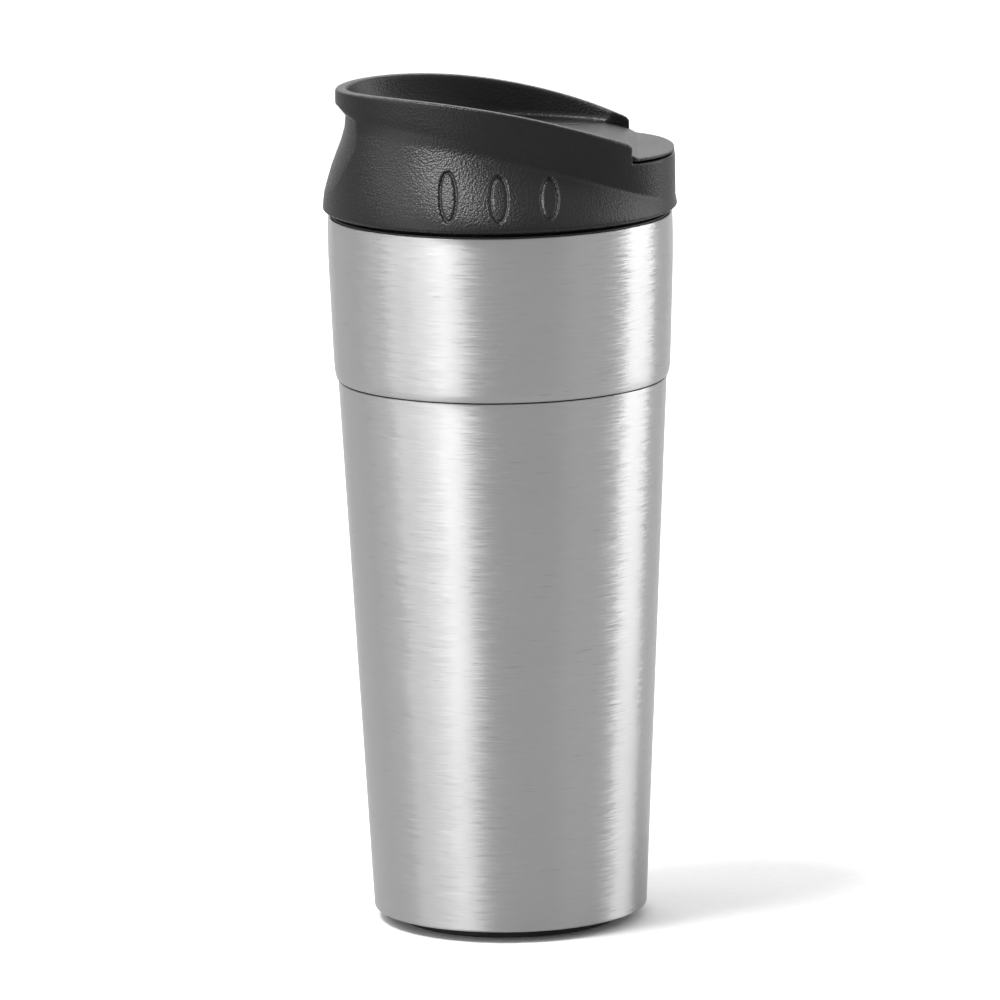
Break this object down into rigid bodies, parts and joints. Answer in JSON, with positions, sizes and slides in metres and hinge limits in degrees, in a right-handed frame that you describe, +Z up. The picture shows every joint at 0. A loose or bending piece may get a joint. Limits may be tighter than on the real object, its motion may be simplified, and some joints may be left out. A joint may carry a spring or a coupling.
{
  "type": "insulated travel mug",
  "caption": "Tapered steel-clad insulated travel mug with a push-fit black lid, slanted flared rim and a hinged drinking flap.",
  "frame": {"origin": "centre of the base, on the surface the mug stands on", "axes": "+Z up the mug's axis; +X towards the drinking side, where the flap's tab lies in the notch; the tall lip is at -X"},
  "size_m": [0.0826, 0.0826, 0.1978],
  "materials": {
    "brushed_steel": "fine brushing that runs round the body",
    "grained_plastic": "black polypropylene with a fine matt grain",
    "black_plastic": "smooth satin black polypropylene",
    "liner_plastic": "smooth satin black polypropylene",
    "silicone": "dark satin silicone",
    "foot_rubber": "matt black rubber",
    "pin_steel": "drawn stainless wire"
  },
  "bodies": {
    "mug": {"outer_shell": "brushed_steel", "shell_band": "brushed_steel", "seam_ring": "black_plastic", "inner_liner": "liner_plastic", "rim_gasket": "silicone", "base_cap": "black_plastic", "base_gasket": "silicone", "anti_slip_foot": "foot_rubber"},
    "lid": {"lid_cover": "grained_plastic", "lid_insert": "black_plastic", "lid_seal": "silicone", "cover_gasket": "silicone", "spout_gasket": "silicone", "vent_gasket": "silicone", "hinge_pin": "pin_steel"},
    "flap": {"drink_flap": "grained_plastic", "drink_plug": "silicone", "vent_plug": "silicone"}
  },
  "joints": [
    {"name": "lid_lift", "type": "slide", "parent": "mug", "child": "lid", "axis": [0, 0, 1], "range_m": [0, 0.06]},
    {"name": "flap_hinge", "type": "hinge", "parent": "lid", "child": "flap", "pos_m": [0.004, 0, 0.1843], "axis": [0, -1, 0], "range_deg": [0, 95]}
  ]
}
